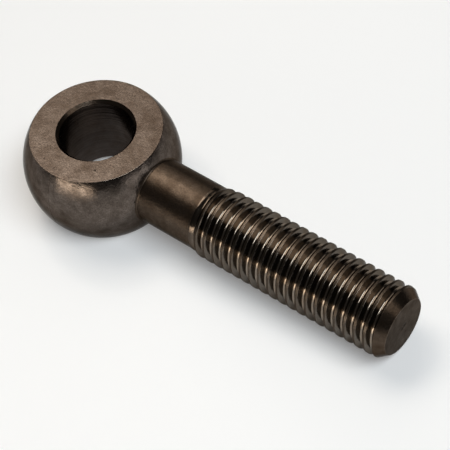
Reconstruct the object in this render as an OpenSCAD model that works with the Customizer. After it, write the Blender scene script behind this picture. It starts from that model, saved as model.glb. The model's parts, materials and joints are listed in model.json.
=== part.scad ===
// Eye bolt (swing bolt): a forged ball with two flats and a cross bore,
// a plain shank, and a rolled thread that runs out to a chamfered point.
// The bore's centre is the origin, +Z runs along the bore and +X along the shank.

/* [Eye] */
// Diameter of the ball that the eye is forged as
ball_d = 25.6; // [24:0.2:30]
// Thickness of the eye, from flat to flat
eye_w = 14; // [10:0.5:18]
// Diameter of the bore through the eye
bore_d = 12; // [8:0.5:14]
// Width of the 45 degree chamfer at each mouth of the bore
bore_chamfer = 0.5; // [0.2:0.1:1]

/* [Shank] */
// Distance from the bore's centre to the end of the point
reach = 58.3; // [54:0.5:80]
// Diameter of the plain shank
shank_d = 10.8; // [10.4:0.1:11.2]
// Radius of the fillet where the shank leaves the ball
neck_r = 0.6; // [0.3:0.1:1.5]

/* [Thread] */
// Outer diameter of the thread, over its crests
thread_d = 11.7; // [11.4:0.1:12.4]
// Advance of the thread in one turn
pitch = 1.75; // [1:0.25:2]
// Width of the thread's flat crest, as a share of the pitch
crest_share = 0.225; // [0.125:0.025:0.3]
// Length of thread, from the end of the point back to the plain shank
thread_len = 36.5; // [20:0.5:38]
// Length over which the grooves fade into the shank
runout_len = 2.6; // [1:0.2:5]
// Turn of the whole thread about its axis, in degrees
thread_turn = 260; // [0:5:355]

/* [Point] */
// Diameter of the flat end of the point
tip_d = 9.3; // [7:0.1:10]
// Angle between the point's chamfer and the axis, in degrees
point_angle = 38; // [30:1:60]

/* [Hidden] */
$fn = 96;

ball_r = ball_d / 2;
shank_r = shank_d / 2;
crest_r = thread_d / 2;
tip_r = tip_d / 2;
thread_x = reach - thread_len;
clear = 1;

// Centre of the neck fillet's arc, and where the arc meets the ball
fillet_r = shank_r + neck_r;
fillet_x = sqrt(pow(ball_r + neck_r, 2) - pow(fillet_r, 2));
fillet_share = ball_r / (ball_r + neck_r);

// Thread form: 60 degree flanks from the flat crest down to a flat root, one sixth of the pitch wide
flank_lean = 30;
crest_w = crest_share * pitch;
root_w = pitch / 6;
flank_w = (pitch - crest_w - root_w) / 2;
root_r = crest_r - flank_w / tan(flank_lean);

// The thread is a helical strip. One column of the strip crosses one pitch:
// crest start, crest end, root start, root end
column_x = [-crest_w / 2, crest_w / 2, crest_w / 2 + flank_w, pitch - crest_w / 2 - flank_w];
column_r = [crest_r, crest_r, root_r, root_r];
rows = len(column_x);
steps_per_turn = 36;
// The strip starts inside the shank, and ends past the point, where it is cut off
seat_step = 0.04;
seat_r = shank_r - seat_step;
strip_x = thread_x - 1.6 * pitch;
strip_turns = ceil((reach + pitch - strip_x) / pitch);
last_step = strip_turns * steps_per_turn;

function smooth(t) = let(c = min(1, max(0, t))) c * c * (3 - 2 * c);
function depth_share(x) = smooth((x - thread_x) / runout_len);

// Point j of the column that stands at step k round the helix
function strip_point(k, j) =
    let(angle = 360 * k / steps_per_turn)
    let(x = strip_x + pitch * k / steps_per_turn + column_x[j])
    let(r = seat_r + (column_r[j] - seat_r) * depth_share(x))
    [x, r * cos(angle), r * sin(angle)];

// A column's upper end is the first point of the column one turn later
function point_id(k, j) =
    j == rows ? point_id(k + steps_per_turn, 0)
    : k <= last_step ? k * rows + j
    : (last_step + 1) * rows + k - last_step - 1;

module head_and_shank() {
    rotate([0, 90, 0]) rotate_extrude() {
        intersection() {
            circle(ball_r);
            translate([0, -ball_r]) square([ball_r, 2 * ball_r]);
        }
        square([shank_r, thread_x]);
        neck_fillet();
    }
}

// Section of the fillet: the corner between ball and shank, less the arc's circle
module neck_fillet() {
    difference() {
        polygon([[0, 0], fillet_share * [fillet_r, fillet_x], [fillet_r, fillet_x],
                 [shank_r, fillet_x], [0, fillet_x]]);
        translate([fillet_r, fillet_x]) circle(neck_r);
    }
}

module eye_flats() {
    for (side = [-1, 1])
        translate([-ball_r - clear, -ball_r - clear, side > 0 ? eye_w / 2 : -eye_w / 2 - ball_r])
            cube([ball_r + clear + fillet_x, 2 * (ball_r + clear), ball_r]);
}

module bore() {
    cylinder(h = eye_w + 2 * clear, d = bore_d, center = true);
    for (side = [0, 1])
        mirror([0, 0, side])
            translate([0, 0, eye_w / 2 - bore_chamfer])
                cylinder(h = bore_chamfer + clear, r1 = bore_d / 2, r2 = bore_d / 2 + bore_chamfer + clear);
}

module thread_strip() {
    points = concat(
        [for (k = [0 : last_step]) for (j = [0 : rows - 1]) strip_point(k, j)],
        [for (k = [last_step + 1 : last_step + steps_per_turn]) strip_point(k, 0)],
        [[strip_x, 0, 0], [strip_x + pitch * (strip_turns + 1), 0, 0]]);
    start_tip = len(points) - 2;
    end_tip = len(points) - 1;
    start_rim = concat(
        [for (k = [0 : steps_per_turn]) point_id(k, 0)],
        [for (j = [rows - 1 : -1 : 1]) point_id(0, j)]);
    end_rim = concat(
        [for (k = [last_step + steps_per_turn : -1 : last_step]) point_id(k, 0)],
        [for (j = [1 : rows - 1]) point_id(last_step, j)]);
    sides = [for (k = [0 : last_step - 1]) for (j = [0 : rows - 1]) for (half = [0, 1])
        half == 0 ? [point_id(k, j), point_id(k + 1, j + 1), point_id(k + 1, j)]
        : [point_id(k, j), point_id(k, j + 1), point_id(k + 1, j + 1)]];
    starts = [for (i = [0 : len(start_rim) - 1])
        [start_tip, start_rim[i], start_rim[(i + 1) % len(start_rim)]]];
    ends = [for (i = [0 : len(end_rim) - 1])
        [end_tip, end_rim[i], end_rim[(i + 1) % len(end_rim)]]];
    polyhedron(points, concat(sides, starts, ends), convexity = 10);
}

// What the finished point stays inside: a cylinder round the crests and the chamfer's cone
module point_envelope() {
    cone_len = (crest_r + clear - tip_r) / tan(point_angle);
    rotate([0, 90, 0]) rotate_extrude()
        polygon([[0, strip_x - pitch], [crest_r + clear, strip_x - pitch],
                 [crest_r + clear, reach - cone_len], [tip_r, reach], [0, reach]]);
}

module eye_bolt() {
    color([0.42, 0.37, 0.32]) {
        difference() {
            head_and_shank();
            eye_flats();
            bore();
        }
        intersection() {
            rotate([thread_turn, 0, 0]) thread_strip();
            point_envelope();
        }
    }
}

eye_bolt();
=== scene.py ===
import json
import math

import bmesh
import bpy
import numpy as np
from mathutils import Matrix, Vector


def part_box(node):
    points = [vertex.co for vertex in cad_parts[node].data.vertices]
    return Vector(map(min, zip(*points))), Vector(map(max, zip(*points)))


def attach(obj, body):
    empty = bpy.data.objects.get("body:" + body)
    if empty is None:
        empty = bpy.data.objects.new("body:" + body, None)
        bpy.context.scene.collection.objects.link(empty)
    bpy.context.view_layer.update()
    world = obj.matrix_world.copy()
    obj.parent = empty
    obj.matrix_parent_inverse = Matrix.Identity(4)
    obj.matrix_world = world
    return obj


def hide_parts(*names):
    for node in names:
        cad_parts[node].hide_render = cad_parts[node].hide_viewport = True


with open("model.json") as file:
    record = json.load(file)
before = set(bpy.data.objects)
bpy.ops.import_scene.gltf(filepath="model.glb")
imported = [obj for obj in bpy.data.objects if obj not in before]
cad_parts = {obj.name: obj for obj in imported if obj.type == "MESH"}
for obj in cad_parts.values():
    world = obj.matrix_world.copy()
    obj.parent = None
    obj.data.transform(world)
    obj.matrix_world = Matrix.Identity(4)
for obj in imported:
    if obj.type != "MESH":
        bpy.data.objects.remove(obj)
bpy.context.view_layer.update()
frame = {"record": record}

# The looks of the eye bolt: a finer mesh than the CAD's, with a helical thread and rounds on its edges,
# ten finishes of its one steel, and the studio that it lies in

# The mesh code works in millimetres, and the finished mesh is scaled to metres
MM = 0.001
TURN = 2 * math.pi
RIGHT = math.pi / 2
# Lengths below this count as nothing
TINY = 1e-9

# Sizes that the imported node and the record's bore mount give
_, node_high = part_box("eye_bolt")
bore_mount = next(m for m in frame["record"]["mounts"] if m["name"] == "eye_bore")
BALL_R = node_high.y / MM
REACH = node_high.x / MM
HALF_EYE = node_high.z / MM
BORE_R = bore_mount["dims"]["r_mm"]
BORE_CHAMFER = HALF_EYE - bore_mount["dims"]["length_mm"] / 2

# Forging seam round the ball
SEAM_W = 0.14
SEAM_DEPTH = 0.05

# Plain shank, the fillet at its neck, and the rounded shoulder between the two
SHANK_R = 5.4
NECK_R = 0.3
SHOULDER = 0.18

# Thread. The root's width is the one that it has before it is rounded
CREST_R = 5.85
PITCH = 1.75
THREAD_LEN = 36.5
THREAD_X = REACH - THREAD_LEN
THREAD_TURN = math.radians(260)
RUNOUT_LEN = 2.6
FLANK_LEAN = math.radians(30)
CREST_SHARE = 0.225
CREST_W = CREST_SHARE * PITCH
CREST_ROUND = 0.06
ROOT_W = 0.37
ROOT_ROUND = 0.3
# The grooves fade out again where the point's chamfer starts, from this far before the point's end
FADE_LEAD = 2.0
FADE_X = REACH - FADE_LEAD
FADE_LEN = 0.8

# Point
TIP_R = 4.65
POINT_ANGLE = math.radians(38)

# Rounds on the edges of the flats and of the point
EDGE_ROUND = 0.1
# How far the flats' edge round stands outside the ball, so that the two cross at a clear angle
EDGE_LIFT = 0.004

# Steps of the meshes round the shank, the eye and the floor, and along the arcs of their outlines
SHANK_STEPS = 144
EYE_STEPS = 240
FLOOR_STEPS = 96
BALL_ARC_STEPS = 90
NECK_ARC_STEPS = 8
SHOULDER_ARC_STEPS = 6
CREST_ARC_STEPS = 3
ROOT_ARC_STEPS = 4
FLAT_EDGE_STEPS = 5
POINT_EDGE_STEPS = 4
COVE_STEPS = 12

# The thread's helical mesh starts on the plain shank, this many pitches before the thread, and the
# turned mesh of ball and shank ends this far before it
STRIP_LEAD = 1.6
JOIN_LEN = 0.3
STRIP_X = THREAD_X - STRIP_LEAD * PITCH
SHANK_END_X = STRIP_X - JOIN_LEN

# Room past the part for the forms that cut it
ROOM = 4.0
# Size of the slivers that the cuts leave
SLIVER = 1e-5
# How much a face's direction counts beside its distance when its true surface is looked up
MISMATCH = 0.5

# What made each face: the body before its cuts, the eye's cuts or the point's cuts
BODY, EYE_CUT, POINT_CUT = range(3)

# The finishes that a face can have, in the order of the material slots
BALL, SHANK, FLAT, BORE, TURNED, END, EDGE, CREST, FLANK, ROOT = range(10)

# Faces are told apart by how much of their normal points along the bore or the shank: more than SQUARE
# on a flat or an end face, less than SLOPING on the bore's chamfer, less than WALL on the bore's wall,
# more than ROUNDED on the point's edge round, and more than BACKWARD, towards the eye, on the shoulder
SQUARE = 0.98
SLOPING = 0.9
WALL = 0.3
ROUNDED = 0.8
BACKWARD = 0.15
# Half the width of the crest's finish, which leaves out most of the rounded corners, and of the
# root's, which takes in nearly all of its round
HALF_CREST = CREST_W / 2 - CREST_ROUND / 3
HALF_ROOT = ROOT_W / 2 + ROOT_ROUND / 4
# The ball's finish ends just before the neck's fillet
BALL_END_X = math.sqrt(BALL_R**2 - (SHANK_R + NECK_R / 2) ** 2)
# Where along the shank the finishes of the thread leave the shank's colour, and where they reach their own
START_BLEND = (THREAD_X + 0.5, THREAD_X + 1.5 * RUNOUT_LEN)

# Linear colour of each finish, then its roughness
BALL_STEEL = (0.117, 0.094, 0.079), 0.2
SHANK_STEEL = (0.076, 0.057, 0.043), 0.34
FLAT_STEEL = (0.115, 0.091, 0.076), 0.34
BORE_STEEL = (0.082, 0.067, 0.059), 0.24
TURNED_STEEL = (0.085, 0.063, 0.047), 0.23
END_STEEL = (0.090, 0.073, 0.060), 0.3
# Lighter edges: partly worn bare steel, partly a painted highlight that glints on rims and lines the neck's
# shoulder
EDGE_STEEL_AND_HIGHLIGHT = (0.19, 0.155, 0.125), 0.22
CREST_STEEL = (0.073, 0.058, 0.046), 0.28
FLANK_STEEL = (0.145, 0.127, 0.109), 0.15
# Roots: lighter than the flanks, which paints in part the streaks of highlight along the grooves
ROOT_STEEL_AND_HIGHLIGHT = (0.250, 0.211, 0.174), 0.15
# Tint of what every finish reflects at a grazing angle
GRAZING_TINT = (0.46, 0.45, 0.44)

# Noise that varies the steel: clouds and patches of stain, and specks of grain
CLOUDS = dict(size=4.0, detail=5.0)
PATCHES = dict(size=1.3, detail=4.0, offset=7.0)
SPECKS = dict(size=0.22, detail=1.0, offset=3.0)
# Values between which nearly all of the noise lies
NOISE_RANGE = (0.28, 0.72)
# Dark stains are warmer than the steel, and light ones a little greyer
DARK_WARMTH = 0.14
LIGHT_WARMTH = -0.03
# Roughness of dark and of light stains beside the steel's own
ROUGHNESS_RANGE = (1.2, 0.85)
# Colour of specks, pits and ripples beside the steel's own, and how strongly the last two show
SPECK_LIGHT = 0.45
PIT_LIGHT = 0.15
PIT_STRENGTH = 0.75
RIPPLE_LIGHT = 0.55
RIPPLE_STRENGTH = 0.5
# Pits, and the share of the radius of a pit or a mark that is fully dark
PIT_SPACING = 1.7
PIT_R = 0.16
PIT_DEPTH = 0.03
PIT_CORE = 0.5
MARK_CORE = 0.4
# Places and radii of the small dark marks that the photo shows
BALL_MARKS = (((-0.53, -12.78, 0.38), 0.22),)
FLAT_MARKS = (((5.33, -6.35, HALF_EYE), 0.2), ((-0.4, -9.54, HALF_EYE), 0.15), ((-3.0, -9.0, HALF_EYE), 0.12))
END_MARKS = (((REACH, 0.39, 0.12), 0.5), ((REACH, -0.23, -0.08), 0.4))

# Stage, in metres. A backdrop's low rim runs all round the floor
FLOOR_COLOUR = (0.75, 0.75, 0.75)
FLOOR_ROUGHNESS = 0.15
FLOOR_IOR = 1.2
FLOOR_GLOW = 0.2
FLOOR_RADIUS = 2.4
BACKDROP_RADIUS = 3.0
BACKDROP_RISE = 0.26
WORLD_LEVEL = 0.05

# Lamps, in degrees and metres: name, azimuth and elevation, distance, width and height, radiance, colour
LAMP_AIM = Vector((0.02, 0, 0))
WARM = (1.0, 0.91, 0.8)
AMBER = (1.0, 0.88, 0.73)
COOL = (0.88, 0.95, 1.0)
WHITE = (1.0, 1.0, 1.0)
LAMPS = (
    ("key", (168, 58), 0.8, (0.48, 0.25), 4.8, WARM),
    ("key_round", (155, 55), 0.8, (0.7, 0.46), 1.2, WARM),
    ("side", (121, 33), 0.8, (0.35, 0.3), 0.8, WARM),
    ("over", (-8, 62), 0.8, (0.6, 0.28), 8.4, COOL),
    ("window", (-89, 4.2), 0.6, (0.52, 0.095), 5.0, AMBER),
    ("front", (12, 38), 0.8, (0.34, 0.14), 1.2, WARM),
    ("low_front", (0, 5), 0.6, (0.4, 0.085), 1.4, WHITE),
)

# Camera, in millimetres and degrees, from the fit to the photo's outlines
CAMERA_AIM = (24.886, 0.326, 0.0)
CAMERA_AZIMUTH, CAMERA_ELEVATION, CAMERA_ROLL = -44.438, 51.621, -9.358
CAMERA_DISTANCE = 259.174
CAMERA_LENS = 134.213
CAMERA_SENSOR = 36.0
# Nearest and farthest distance that the camera sees, in metres
CAMERA_CLIP = (0.01, 20.0)


# Outlines of the turned forms

class Outline:
    """Stretches of a half section, as (along, out) points with the surface's normal at both ends.
    The solid lies to the right of the direction of travel."""

    def __init__(self):
        self.starts, self.ends, self.start_normals, self.end_normals = [], [], [], []

    def add(self, start, end, start_normal, end_normal):
        self.starts.append(start)
        self.ends.append(end)
        self.start_normals.append(start_normal)
        self.end_normals.append(end_normal)

    def line(self, *points):
        """Straight stretches from point to point."""
        points = [np.array(p, float) for p in points]
        for a, b in zip(points[:-1], points[1:]):
            along = (b - a) / np.linalg.norm(b - a)
            normal = np.array([-along[1], along[0]])
            self.add(a, b, normal, normal)
        return self

    def arc(self, centre, radius, start, end, steps, hollow=False):
        """An arc from one angle to another. A hollow one has its normals towards the centre."""
        angles = np.linspace(start, end, steps + 1)
        spokes = np.stack([np.cos(angles), np.sin(angles)], 1)
        points = np.array(centre) + radius * spokes
        normals = -spokes if hollow else spokes
        for i in range(steps):
            self.add(points[i], points[i + 1], normals[i], normals[i + 1])
        return self

    def last(self):
        return self.ends[-1]

    def points(self):
        return np.array(self.starts + [self.ends[-1]])


def shank_outline():
    """Ball with its seam, neck fillet, shoulder and plain shank, up to where the thread's mesh joins."""
    low_r = SHANK_R - SHOULDER
    centre_out = low_r + NECK_R
    centre_along = math.sqrt((BALL_R + NECK_R) ** 2 - centre_out**2)
    contact = math.atan2(centre_out, centre_along)
    seam = SEAM_W / 2 / BALL_R
    seam_end = BALL_R * np.array([math.sin(seam), math.cos(seam)])
    line = Outline()
    line.arc((0, 0), BALL_R, math.pi, RIGHT + seam, BALL_ARC_STEPS)
    line.line(line.last(), (0, BALL_R - SEAM_DEPTH), seam_end)
    line.arc((0, 0), BALL_R, RIGHT - seam, contact, BALL_ARC_STEPS)
    line.arc((centre_along, centre_out), NECK_R, contact + math.pi, 3 * RIGHT, NECK_ARC_STEPS, hollow=True)
    line.arc((centre_along + SHOULDER, low_r), SHOULDER, math.pi, RIGHT, SHOULDER_ARC_STEPS)
    return line.line(line.last(), (SHANK_END_X, SHANK_R))


def thread_outline():
    """One pitch of thread: flat crest, rounded corner, flank, rounded root with a short flat in its middle,
    flank, rounded corner."""
    tangent = math.tan((RIGHT - FLANK_LEAN) / 2)
    spoke = np.array([math.cos(FLANK_LEAN), math.sin(FLANK_LEAN)])
    corner_x = CREST_W / 2 - CREST_ROUND * tangent
    corner_out = CREST_R - CREST_ROUND
    root_r = CREST_R - (PITCH - CREST_W - ROOT_W) / 2 / math.tan(FLANK_LEAN)
    root_x = ROOT_W / 2 - ROOT_ROUND * tangent
    root_out = root_r + ROOT_ROUND
    root_low, root_high = PITCH / 2 - root_x, PITCH / 2 + root_x
    root_spoke, corner_spoke = spoke * ROOT_ROUND, spoke * CREST_ROUND
    root_in = np.array([root_low - root_spoke[0], root_out - root_spoke[1]])
    flank_end = np.array([PITCH - corner_x - corner_spoke[0], corner_out + corner_spoke[1]])
    line = Outline()
    line.line((-corner_x, CREST_R), (corner_x, CREST_R))
    line.arc((corner_x, corner_out), CREST_ROUND, RIGHT, FLANK_LEAN, CREST_ARC_STEPS)
    line.line(line.last(), (line.last() + root_in) / 2, root_in)
    line.arc((root_low, root_out), ROOT_ROUND, math.pi + FLANK_LEAN, 3 * RIGHT, ROOT_ARC_STEPS, hollow=True)
    line.line(line.last(), (root_high, root_r))
    line.arc((root_high, root_out), ROOT_ROUND, 3 * RIGHT, TURN - FLANK_LEAN, ROOT_ARC_STEPS, hollow=True)
    line.line(line.last(), (line.last() + flank_end) / 2, flank_end)
    return line.arc((PITCH - corner_x, corner_out), CREST_ROUND, math.pi - FLANK_LEAN, RIGHT, CREST_ARC_STEPS)


def eye_outline():
    """What the eye's cuts keep, turned about the bore: a wide ring with the bore, its chamfers, the flats
    and their edge rounds."""
    inner = HALF_EYE - BORE_CHAMFER
    mouth_r = BORE_R + BORE_CHAMFER
    round_along = HALF_EYE - EDGE_ROUND
    round_out = math.sqrt((BALL_R - EDGE_ROUND + EDGE_LIFT) ** 2 - round_along**2)
    contact = math.atan2(round_out, round_along)
    far = REACH + ROOM
    line = Outline()
    line.line((inner, BORE_R), (-inner, BORE_R), (-HALF_EYE, mouth_r), (-HALF_EYE, round_out))
    line.arc((-round_along, round_out), EDGE_ROUND, math.pi, math.pi - contact, FLAT_EDGE_STEPS)
    line.line(line.last(), (line.last()[0], far), (-line.last()[0], far))
    spoke = np.array([math.cos(contact), math.sin(contact)])
    line.line(line.last(), np.array([round_along, round_out]) + EDGE_ROUND * spoke)
    line.arc((round_along, round_out), EDGE_ROUND, contact, 0, FLAT_EDGE_STEPS)
    return line.line(line.last(), (HALF_EYE, mouth_r), (inner, BORE_R))


def point_outline():
    """What the point's cuts keep, turned about the shank: a wide body with the cone and the end face."""
    wide = BALL_R + ROOM
    lean_sin, lean_cos = math.sin(POINT_ANGLE), math.cos(POINT_ANGLE)
    round_out = TIP_R - EDGE_ROUND * (1 - lean_sin) / lean_cos
    cone_end = (REACH - EDGE_ROUND + EDGE_ROUND * lean_sin, round_out + EDGE_ROUND * lean_cos)
    cone_start = (cone_end[0] - (wide - cone_end[1]) * lean_cos / lean_sin, wide)
    line = Outline()
    line.line((-wide, 0), (-wide, wide), cone_start, cone_end)
    line.arc((REACH - EDGE_ROUND, round_out), EDGE_ROUND, RIGHT - POINT_ANGLE, 0, POINT_EDGE_STEPS)
    return line.line(line.last(), (REACH, 0))


# Meshes

def band(low, high):
    """Faces between two rings of vertices. A ring on the axis names its one vertex at every step."""
    steps = len(low)
    corners = [(low[k], low[(k + 1) % steps], high[(k + 1) % steps], high[k]) for k in range(steps)]
    return [list(dict.fromkeys(face)) for face in corners]


def turned(points, steps, start_angle=0.0):
    """Vertices, rings and faces of a form turned about the first axis."""
    vertices, rings = [], []
    for along, out in points:
        first = len(vertices)
        if out < TINY:
            vertices.append((along, 0.0, 0.0))
            rings.append([first] * steps)
            continue
        angles = [start_angle + TURN * k / steps for k in range(steps)]
        vertices += [(along, out * math.cos(a), out * math.sin(a)) for a in angles]
        rings.append(list(range(first, first + steps)))
    faces = [face for low, high in zip(rings[:-1], rings[1:]) for face in band(low, high)]
    return vertices, rings, faces


def about_bore(vertices):
    """The same form turned about Z in place of X."""
    return [(y, z, x) for x, y, z in vertices]


def eased(x, start, length):
    """A smooth rise from 0 at start to 1 a length later, with its slope."""
    t = np.clip((x - start) / length, 0, 1)
    return t * t * (3 - 2 * t), 6 * t * (1 - t) / length


def thread_radius(x, full, slope):
    """Radius of the thread at x, and its slope along the axis, from those of the full form. The form grows
    out of the shank over the run-out, and its grooves fill up again before the point."""
    share, share_slope = eased(x, THREAD_X, RUNOUT_LEN)
    fill, fill_slope = eased(x, FADE_X, FADE_LEN)
    grown = SHANK_R + (full - SHANK_R) * share
    grown_slope = slope * share + (full - SHANK_R) * share_slope
    return grown + (CREST_R - grown) * fill, grown_slope * (1 - fill) + (CREST_R - grown) * fill_slope


def bolt_mesh():
    """The whole bolt before its cuts: the turned ball and shank, then the thread as a helical strip that
    runs past the point."""
    vertices, rings, faces = turned(shank_outline().points(), SHANK_STEPS, THREAD_TURN)
    column = thread_outline().points()[:-1]
    rows = len(column)
    turns = math.ceil((REACH + PITCH - STRIP_X) / PITCH)
    last = turns * SHANK_STEPS
    first = len(vertices)

    def place(k, j):
        x = STRIP_X + PITCH * k / SHANK_STEPS + column[j][0]
        out = float(thread_radius(x, column[j][1], 0.0)[0])
        angle = THREAD_TURN + TURN * k / SHANK_STEPS
        return x, out * math.cos(angle), out * math.sin(angle)

    # A column's upper end is the first point of the column one turn later
    def index(k, j):
        if j == rows:
            return index(k + SHANK_STEPS, 0)
        return first + (k * rows + j if k <= last else (last + 1) * rows + k - last - 1)

    vertices += [place(k, j) for k in range(last + 1) for j in range(rows)]
    vertices += [place(k, 0) for k in range(last + 1, last + SHANK_STEPS + 1)]
    faces += [[index(k, j), index(k + 1, j), index(k + 1, j + 1), index(k, j + 1)]
              for k in range(last) for j in range(rows)]
    # The shank's last ring meets the strip's first turn, whose ends lie one pitch apart
    ring = rings[-1]
    faces += [[ring[k], ring[k + 1], index(k + 1, 0), index(k, 0)] for k in range(SHANK_STEPS - 1)]
    step_up = [index(0, j) for j in range(rows + 1)]
    faces.append([ring[-1], ring[0], *step_up, index(SHANK_STEPS - 1, 0)])
    # A fan closes the far end, past the cut
    tip = len(vertices)
    vertices.append((REACH + ROOM, 0.0, 0.0))
    rim = [index(k, 0) for k in range(last, last + SHANK_STEPS + 1)]
    rim += [index(last, j) for j in range(rows - 1, 0, -1)]
    faces += [[rim[i], rim[(i + 1) % len(rim)], tip] for i in range(len(rim))]
    return vertices, faces


def linked(name, data):
    """A new object with this data, in the scene."""
    obj = bpy.data.objects.new(name, data)
    bpy.context.scene.collection.objects.link(obj)
    return obj


def marked_object(name, vertices, faces, made_by, placeholders):
    """An object whose faces all have the placeholder material of what made them."""
    mesh = bpy.data.meshes.new(name)
    mesh.from_pydata(vertices, [], faces)
    for material in placeholders:
        mesh.materials.append(material)
    mesh.polygons.foreach_set("material_index", [made_by] * len(mesh.polygons))
    mesh.validate()
    return linked(name, mesh)


def cut_bolt(placeholders):
    """The bolt's mesh with the flats, the bore and the point cut. Its faces still have the placeholders."""
    vertices, faces = bolt_mesh()
    body = marked_object("bolt", vertices, faces, BODY, placeholders)
    vertices, rings, faces = turned(eye_outline().points()[:-1], EYE_STEPS)
    faces += band(rings[-1], rings[0])
    eye_keep = marked_object("eye_keep", about_bore(vertices), faces, EYE_CUT, placeholders)
    vertices, _, faces = turned(point_outline().points(), SHANK_STEPS, THREAD_TURN)
    point_keep = marked_object("point_keep", vertices, faces, POINT_CUT, placeholders)
    for form in (eye_keep, point_keep):
        cut = body.modifiers.new(form.name, "BOOLEAN")
        cut.operation = "INTERSECT"
        cut.solver = "MANIFOLD"
        cut.material_mode = "TRANSFER"
        cut.object = form
    mesh = bpy.data.meshes.new_from_object(body.evaluated_get(bpy.context.evaluated_depsgraph_get()))
    for obj in (body, eye_keep, point_keep):
        bpy.data.objects.remove(obj)
    return mesh


def clean(mesh):
    """Removes the slivers that the cuts leave."""
    work = bmesh.new()
    work.from_mesh(mesh)
    bmesh.ops.remove_doubles(work, verts=work.verts, dist=SLIVER)
    bmesh.ops.dissolve_degenerate(work, dist=SLIVER, edges=work.edges)
    work.to_mesh(mesh)
    work.free()


# Normals of the true surface

def half_plane(places):
    """The places as (along, out) points, and the unit spoke from the axis towards each."""
    outs = np.linalg.norm(places[:, 1:], axis=1)
    spokes = places[:, 1:] / np.maximum(outs, TINY)[:, None]
    return np.stack([places[:, 0], outs], 1), spokes


def interpolated(outline, rows, share):
    """The outline's normals at a share of the way along some of its stretches."""
    low, high = (np.array(x)[rows] for x in (outline.start_normals, outline.end_normals))
    normals = low + (high - low) * share[:, None]
    return normals / np.linalg.norm(normals, axis=1)[:, None]


def turned_normals(outline, centres, face_normals, corners, corner_faces):
    """Normals at the corners of faces of a form turned about the first axis. Each face takes the stretch
    of the outline that it lies nearest to and agrees with in direction."""
    starts, ends = np.array(outline.starts), np.array(outline.ends)
    middles = (np.array(outline.start_normals) + np.array(outline.end_normals)) / 2
    spans = ends - starts
    flat_centres, spokes = half_plane(centres)
    flat_normals = np.stack([face_normals[:, 0], (face_normals[:, 1:] * spokes).sum(1)], 1)
    shares = ((flat_centres[:, None] - starts) * spans).sum(2) / (spans**2).sum(1)
    nearest = starts + np.clip(shares, 0, 1)[:, :, None] * spans
    cost = np.linalg.norm(flat_centres[:, None] - nearest, axis=2)
    cost += MISMATCH * (1 - (flat_normals[:, None] * middles).sum(2))
    rows = cost.argmin(1)[corner_faces]
    flat_corners, spokes = half_plane(corners)
    share = ((flat_corners - starts[rows]) * spans[rows]).sum(1) / (spans[rows] ** 2).sum(1)
    normals = interpolated(outline, rows, np.clip(share, 0, 1))
    return np.concatenate([normals[:, :1], normals[:, 1:] * spokes], 1)


def thread_phase(places, start=0.0):
    """How far along the axis each place lies past the middle of a crest, from start to a pitch more."""
    angles = np.arctan2(places[:, 2], places[:, 1])
    past = places[:, 0] - STRIP_X - PITCH * (angles - THREAD_TURN) / TURN
    return start + np.mod(past - start, PITCH)


def thread_normals(corners):
    """Normals of the thread and of the plain shank behind it, from the slope of its radius along and round
    the axis."""
    outline = thread_outline()
    nodes = outline.points()
    slopes = [-n[0] / n[1] for n in outline.start_normals + outline.end_normals[-1:]]
    x, y, z = corners.T
    angle, out = np.arctan2(z, y), np.hypot(y, z)
    phase = thread_phase(corners, nodes[0][0])
    slope = np.interp(phase, nodes[:, 0], slopes)
    full = np.interp(phase, nodes[:, 0], nodes[:, 1])
    along = -thread_radius(x, full, slope)[1]
    # Round the axis only the thread's form changes, not the run-out and the filling
    own_slope = thread_radius(x, full, slope)[1] - thread_radius(x, full, 0.0)[1]
    sideways = PITCH / TURN * own_slope / out
    cos, sin = np.cos(angle), np.sin(angle)
    normals = np.stack([along, cos - sideways * sin, sin + sideways * cos], 1)
    return normals / np.linalg.norm(normals, axis=1)[:, None]


def face_values(mesh, *names):
    """For each name, an array of that value of the mesh's faces."""
    found = []
    for name in names:
        wide = name in ("center", "normal")
        values = np.empty(len(mesh.polygons) * (3 if wide else 1), float if wide else int)
        mesh.polygons.foreach_get(name, values)
        found.append(values.reshape(-1, 3) if wide else values)
    return found


def smooth_shading(mesh):
    """Gives each face corner the normal of the true surface there, so that cuts leave no marks in the
    reflections."""
    made_by, totals = face_values(mesh, "material_index", "loop_total")
    centres, face_normals = face_values(mesh, "center", "normal")
    places = np.empty(len(mesh.vertices) * 3)
    mesh.vertices.foreach_get("co", places)
    corner_vertices = np.empty(len(mesh.loops), int)
    mesh.loops.foreach_get("vertex_index", corner_vertices)
    corners = places.reshape(-1, 3)[corner_vertices]
    corner_faces = np.repeat(np.arange(len(made_by)), totals)
    on_thread = (made_by == BODY) & (centres[:, 0] > SHANK_END_X)
    normals = face_normals[corner_faces]
    normals[on_thread[corner_faces]] = thread_normals(corners[on_thread[corner_faces]])
    about_x, about_z = [0, 1, 2], [2, 0, 1]
    for outline, chosen, order in ((shank_outline(), (made_by == BODY) & ~on_thread, about_x),
                                   (eye_outline(), made_by == EYE_CUT, about_z),
                                   (point_outline(), made_by == POINT_CUT, about_x)):
        at = chosen[corner_faces]
        numbers = np.cumsum(chosen) - 1
        found = turned_normals(outline, centres[chosen][:, order], face_normals[chosen][:, order],
                               corners[at][:, order], numbers[corner_faces[at]])
        normals[at] = found[:, np.argsort(order)]
    mesh.polygons.foreach_set("use_smooth", [True] * len(made_by))
    mesh.normals_split_custom_set(normals)


# Materials

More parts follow.
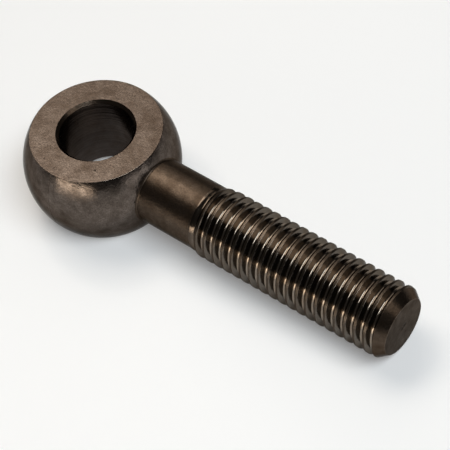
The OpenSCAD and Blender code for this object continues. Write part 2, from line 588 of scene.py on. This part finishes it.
class Tree:
    """Short calls for building one material's nodes."""

    def __init__(self, name):
        self.material = bpy.data.materials.new(name)
        self.material.use_nodes = True
        self.nodes, self.links = self.material.node_tree.nodes, self.material.node_tree.links
        self.nodes.clear()
        self.place_node = None

    @property
    def mm(self):
        """Coordinates on the object in millimetres."""
        if self.place_node is None:
            self.place_node = self.scaled(self.add("ShaderNodeTexCoord").outputs["Object"], (1 / MM,) * 3)
        return self.place_node

    def add(self, kind, settings=None, **inputs):
        """A new node with these settings and inputs, whose names have _ in place of a space."""
        node = self.nodes.new(kind)
        for name, value in (settings or {}).items():
            setattr(node, name, value)
        for name, value in inputs.items():
            self.put(node.inputs[name.replace("_", " ")], value)
        return node

    def put(self, socket, value):
        """Links or sets a socket. A colour comes as three numbers, and its socket wants an alpha too."""
        if isinstance(value, bpy.types.NodeSocket):
            self.links.new(value, socket)
        elif hasattr(socket.default_value, "__len__") and len(socket.default_value) == 4:
            socket.default_value = (*value, 1)
        else:
            socket.default_value = value

    def pair(self, kind, operation, first, second):
        """A node that works on two values. Their sockets share a name, so they are taken by place."""
        node = self.add(kind, dict(operation=operation))
        self.put(node.inputs[0], first)
        self.put(node.inputs[1], second)
        return node

    def math(self, operation, first, second):
        return self.pair("ShaderNodeMath", operation, first, second).outputs[0]

    def plus(self, first, second):
        return self.math("ADD", first, second)

    def times(self, first, second):
        return self.math("MULTIPLY", first, second)

    def parts(self, place):
        return self.add("ShaderNodeSeparateXYZ", Vector=place).outputs

    def scaled(self, place, scale):
        return self.pair("ShaderNodeVectorMath", "MULTIPLY", place, scale).outputs[0]

    def noise(self, size, detail, place=None, stretch=(1, 1, 1), offset=0.0):
        """Noise from 0 to 1 with marks of about this size in millimetres."""
        place = self.scaled(place or self.mm, tuple(s / size for s in stretch))
        if offset:
            place = self.pair("ShaderNodeVectorMath", "ADD", place, (offset,) * 3).outputs[0]
        raw = self.add("ShaderNodeTexNoise", Vector=place, Scale=1.0, Detail=detail)
        return self.spread(raw.outputs["Fac"], *NOISE_RANGE)

    def spread(self, value, low_in, high_in, low=0.0, high=1.0):
        """The value's range from low_in to high_in spread over the one from low to high."""
        node = self.add("ShaderNodeMapRange", Value=value)
        for name, number in (("From Min", low_in), ("From Max", high_in), ("To Min", low), ("To Max", high)):
            node.inputs[name].default_value = number
        return node.outputs["Result"]

    def mixed(self, factor, first, second):
        node = self.add("ShaderNodeMix", dict(data_type="RGBA"), Factor=factor)
        # The colour sockets share their names with the ones for numbers, so they are taken by place
        self.put(node.inputs[6], first)
        self.put(node.inputs[7], second)
        return node.outputs[2]

    def spots(self, spacing, radius, share):
        """1 in small round spots, in a share of the cells of this spacing in millimetres."""
        cells = self.add("ShaderNodeTexVoronoi", Vector=self.scaled(self.mm, (1 / spacing,) * 3), Scale=1.0)
        near = self.spread(cells.outputs["Distance"], radius / spacing, radius / spacing * PIT_CORE)
        chosen = self.math("GREATER_THAN", self.parts(cells.outputs["Color"])["X"], 1 - share)
        return self.times(near, chosen)

    def spot_at(self, centre, radius):
        """1 within a radius of a point in millimetres."""
        gap = self.pair("ShaderNodeVectorMath", "DISTANCE", self.mm, centre)
        return self.spread(gap.outputs["Value"], radius, radius * MARK_CORE)

    def finish(self, surface):
        """The material with this node's shader as its surface."""
        output = self.add("ShaderNodeOutputMaterial")
        self.links.new(surface.outputs[0], output.inputs["Surface"])
        return self.material


def straight(tree):
    """Coordinates on the object as they are, in millimetres."""
    return tree.mm


def round_the_shank(tree):
    """Coordinates along the shank, round it in millimetres of arc at the crest, and out from it."""
    x, y, z = tree.parts(tree.mm)
    arc = tree.times(tree.math("ARCTAN2", y, z), CREST_R)
    squares = tree.plus(tree.math("POWER", y, 2.0), tree.math("POWER", z, 2.0))
    out = tree.math("POWER", squares, 0.5)
    return tree.add("ShaderNodeCombineXYZ", X=x, Y=arc, Z=out).outputs[0]


def tinted(colour, light, warmth=0.0):
    """The colour made lighter or darker, and warmer or greyer."""
    red, green, blue = colour
    return red * light * (1 + warmth), green * light, blue * light * (1 - warmth)


def metal(name, steel, stain=0.35, grain=0.3, bumps=(), ripple=None, marks=(), pit_share=0.25,
          start_colour=None):
    """Bare steel of this colour and roughness, with cloudy stains, fine grain, small pits and an uneven
    gloss. Each bump is a size and a height in millimetres. A ripple is the function that gives its
    coordinates, then a stretch of them, a size and a height. Each mark is the centre and radius of a
    dark spot. A start colour is the one that the thread has where it starts."""
    colour, roughness = steel
    tree = Tree(name)
    shade = tree.times(tree.plus(tree.noise(**CLOUDS), tree.noise(**PATCHES)), 0.5)
    dark = tinted(colour, 1 - stain, DARK_WARMTH)
    light = tinted(colour, 1 + stain, LIGHT_WARMTH)
    base = tree.mixed(shade, dark, light)
    base = tree.mixed(tree.times(tree.noise(**SPECKS), grain), base, tinted(colour, SPECK_LIGHT))
    pits = tree.spots(PIT_SPACING, PIT_R, pit_share)
    for centre, radius in marks:
        pits = tree.math("MAXIMUM", pits, tree.spot_at(centre, radius))
    base = tree.mixed(tree.times(pits, PIT_STRENGTH), base, tinted(colour, PIT_LIGHT))
    if start_colour:
        grown = tree.spread(tree.parts(tree.mm)["X"], *START_BLEND)
        base = tree.mixed(grown, start_colour, base)
    height = tree.times(pits, -PIT_DEPTH * MM)
    for size, tall in bumps:
        height = tree.plus(height, tree.times(tree.noise(size, detail=1.0, offset=size), tall * MM))
    if ripple:
        coordinates, stretch, size, tall = ripple
        rings = tree.noise(size, detail=2.0, place=coordinates(tree), stretch=stretch)
        height = tree.plus(height, tree.times(rings, tall * MM))
        base = tree.mixed(tree.times(rings, RIPPLE_STRENGTH), base, tinted(colour, RIPPLE_LIGHT))
    normal = tree.add("ShaderNodeBump", Height=height, Strength=1.0, Distance=1.0).outputs["Normal"]
    rough, smooth = (roughness * share for share in ROUGHNESS_RANGE)
    uneven = tree.spread(shade, 0.0, 1.0, rough, smooth)
    return tree.finish(tree.add("ShaderNodeBsdfPrincipled", Metallic=1.0, Specular_Tint=GRAZING_TINT,
                                Base_Color=base, Roughness=uneven, Normal=normal))


def steels():
    """The finishes of the one steel, in the order in which the faces number them."""
    rolled = dict(stain=0.15, grain=0.2, pit_share=0.0, start_colour=SHANK_STEEL[0],
                  ripple=(round_the_shank, (0.6, 0.1, 1), 0.12, 0.002))
    return [
        metal("steel_ball", BALL_STEEL, stain=0.75, grain=0.7, bumps=((1.3, 0.016), (0.35, 0.008)),
              marks=BALL_MARKS),
        metal("steel_shank", SHANK_STEEL, stain=0.55, grain=0.6, bumps=((0.6, 0.009), (0.18, 0.009))),
        metal("steel_flat", FLAT_STEEL, stain=0.45, grain=0.75, bumps=((0.35, 0.014), (0.15, 0.007)),
              marks=FLAT_MARKS),
        metal("steel_bore", BORE_STEEL, pit_share=0.0, ripple=(straight, (0.02, 0.02, 1), 0.5, 0.02)),
        metal("steel_turned", TURNED_STEEL, stain=0.5, grain=0.4, bumps=((0.6, 0.008), (0.18, 0.004))),
        metal("steel_end", END_STEEL, stain=0.7, grain=0.5, bumps=((0.6, 0.01), (0.18, 0.005)),
              marks=END_MARKS),
        metal("steel_edge", EDGE_STEEL_AND_HIGHLIGHT, stain=0.5, grain=0.5, bumps=((0.6, 0.02),), pit_share=0.4),
        metal("steel_crest", CREST_STEEL, stain=0.5, grain=0.5, bumps=((0.5, 0.006), (0.16, 0.005)),
              start_colour=SHANK_STEEL[0]),
        metal("steel_flank", FLANK_STEEL, **rolled),
        metal("steel_root", ROOT_STEEL_AND_HIGHLIGHT, **rolled),
    ]


def finishes(mesh):
    """The number of each face's finish, in the order in which the finishes are added."""
    made_by, centres, normals = face_values(mesh, "material_index", "center", "normal")
    x = centres[:, 0]
    from_bore = np.hypot(x, centres[:, 1])
    along_shank, along_bore = np.abs(normals[:, 0]), np.abs(normals[:, 2])
    from_root = np.abs(thread_phase(centres) - PITCH / 2)
    found = np.full(len(made_by), BALL)
    body = made_by == BODY
    found[body & (x > BALL_END_X)] = SHANK
    # The neck's shoulder takes the edges' lighter finish, which paints a thin highlight along it
    found[body & (x > BALL_END_X) & (x < STRIP_X) & (normals[:, 0] < -BACKWARD)] = EDGE
    found[body & (x > THREAD_X)] = CREST
    found[body & (x > THREAD_X) & (from_root < PITCH / 2 - HALF_CREST)] = FLANK
    # The roots' lighter finish paints in part the streaks of highlight in the grooves
    found[body & (x > THREAD_X) & (from_root < HALF_ROOT)] = ROOT
    eye = made_by == EYE_CUT
    found[eye] = FLAT
    found[eye & (from_bore < BORE_R + BORE_CHAMFER) & (along_bore < SLOPING)] = TURNED
    found[eye & (from_bore < BORE_R + BORE_CHAMFER / 2) & (along_bore < WALL)] = BORE
    found[eye & (from_bore > BORE_R + 2 * BORE_CHAMFER) & (along_bore < SQUARE)] = EDGE
    point = made_by == POINT_CUT
    found[point] = TURNED
    found[point & (along_shank > ROUNDED)] = EDGE
    found[point & (along_shank > SQUARE)] = END
    return found


def bolt():
    """The finished bolt, in metres. Placeholder materials mark what made each face until it has a finish."""
    placeholders = [bpy.data.materials.new(name) for name in ("body", "eye_cut", "point_cut")]
    mesh = cut_bolt(placeholders)
    clean(mesh)
    smooth_shading(mesh)
    numbers = finishes(mesh)
    mesh.materials.clear()
    for material in steels():
        mesh.materials.append(material)
    mesh.polygons.foreach_set("material_index", numbers)
    mesh.transform(Matrix.Scale(MM, 4))
    for material in placeholders:
        bpy.data.materials.remove(material)
    return linked("bolt", mesh)


# Stage, lamps and camera

def direction(azimuth, elevation):
    """Unit vector at an azimuth from +X towards +Y and an elevation above the flats' plane, in degrees."""
    a, e = math.radians(azimuth), math.radians(elevation)
    return Vector((math.cos(e) * math.cos(a), math.cos(e) * math.sin(a), math.sin(e)))


def soft_box(name, angles, distance, size, radiance, colour):
    """A rectangular lamp that faces the bolt and looks as bright as its radiance says."""
    width, height = size
    away = direction(*angles)
    lamp = bpy.data.lights.new(name, "AREA")
    lamp.shape = "RECTANGLE"
    lamp.size, lamp.size_y = width, height
    lamp.energy = radiance * math.pi * width * height
    lamp.color = colour
    obj = linked(name, lamp)
    obj.location = LAMP_AIM + away * distance
    obj.rotation_euler = away.to_track_quat("Z", "Y").to_euler()
    obj.visible_camera = False


def pale_floor():
    """Smooth and pale, with a glow that the camera and the metal see and that lights nothing."""
    tree = Tree("pale_floor")
    path = tree.add("ShaderNodeLightPath")
    seen = tree.math("MAXIMUM", path.outputs["Is Camera Ray"], path.outputs["Is Glossy Ray"])
    seen = tree.math("MAXIMUM", seen, path.outputs["Is Transmission Ray"])
    glow = tree.add("ShaderNodeEmission", Strength=tree.times(seen, FLOOR_GLOW))
    surface = tree.add("ShaderNodeBsdfPrincipled", Base_Color=FLOOR_COLOUR, Roughness=FLOOR_ROUGHNESS,
                       IOR=FLOOR_IOR)
    both = tree.add("ShaderNodeAddShader")
    tree.put(both.inputs[0], glow.outputs[0])
    tree.put(both.inputs[1], surface.outputs[0])
    return tree.finish(both)


def floor():
    """A wide pale floor with a low rim all round. The bolt lies on it with the rim of the eye's lower flat
    and the thread's last crests."""
    flat_rim = math.sqrt(BALL_R**2 - HALF_EYE**2)
    touch = REACH - (CREST_R - TIP_R) / math.tan(POINT_ANGLE)
    tilt = math.atan2(HALF_EYE - CREST_R, touch - flat_rim)
    curve = BACKDROP_RADIUS - FLOOR_RADIUS
    bend = [RIGHT * k / COVE_STEPS for k in range(COVE_STEPS + 1)]
    side = [(BACKDROP_RISE * (1 - math.cos(a)), FLOOR_RADIUS + curve * math.sin(a)) for a in bend]
    vertices, _, faces = turned([(0, 0), *side], FLOOR_STEPS)
    mesh = bpy.data.meshes.new("floor")
    mesh.from_pydata(about_bore(vertices), [], faces)
    mesh.polygons.foreach_set("use_smooth", [True] * len(faces))
    mesh.materials.append(pale_floor())
    obj = linked("floor", mesh)
    obj.rotation_euler = (0, -tilt, 0)
    obj.location = Vector((0, 0, -HALF_EYE - flat_rim * math.tan(tilt))) * MM


def camera():
    """The camera at the photo's viewing angle, turned about its line of sight by the roll."""
    back = direction(CAMERA_AZIMUTH, CAMERA_ELEVATION)
    level = Vector((0, 0, 1)).cross(back).normalized()
    roll = math.radians(CAMERA_ROLL)
    right = math.cos(roll) * level + math.sin(roll) * back.cross(level)
    turn = Matrix((right, back.cross(right), back)).transposed().to_4x4()
    data = bpy.data.cameras.new("camera")
    data.sensor_width = CAMERA_SENSOR
    data.lens = CAMERA_LENS
    data.clip_start, data.clip_end = CAMERA_CLIP
    obj = linked("camera", data)
    obj.matrix_world = Matrix.Translation(Vector(CAMERA_AIM) * MM + back * CAMERA_DISTANCE * MM) @ turn
    bpy.context.scene.camera = obj


def dim_world():
    """A dim grey world, the same all round."""
    world = bpy.data.worlds.new("studio")
    world.use_nodes = True
    world.node_tree.nodes["Background"].inputs["Color"].default_value = (*[WORLD_LEVEL] * 3, 1)
    bpy.context.scene.world = world


piece = bolt()
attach(piece, "root")
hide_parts("eye_bolt")

floor()
for lamp in LAMPS:
    soft_box(*lamp)
camera()
dim_world()
bpy.context.scene.view_settings.view_transform = "Standard"
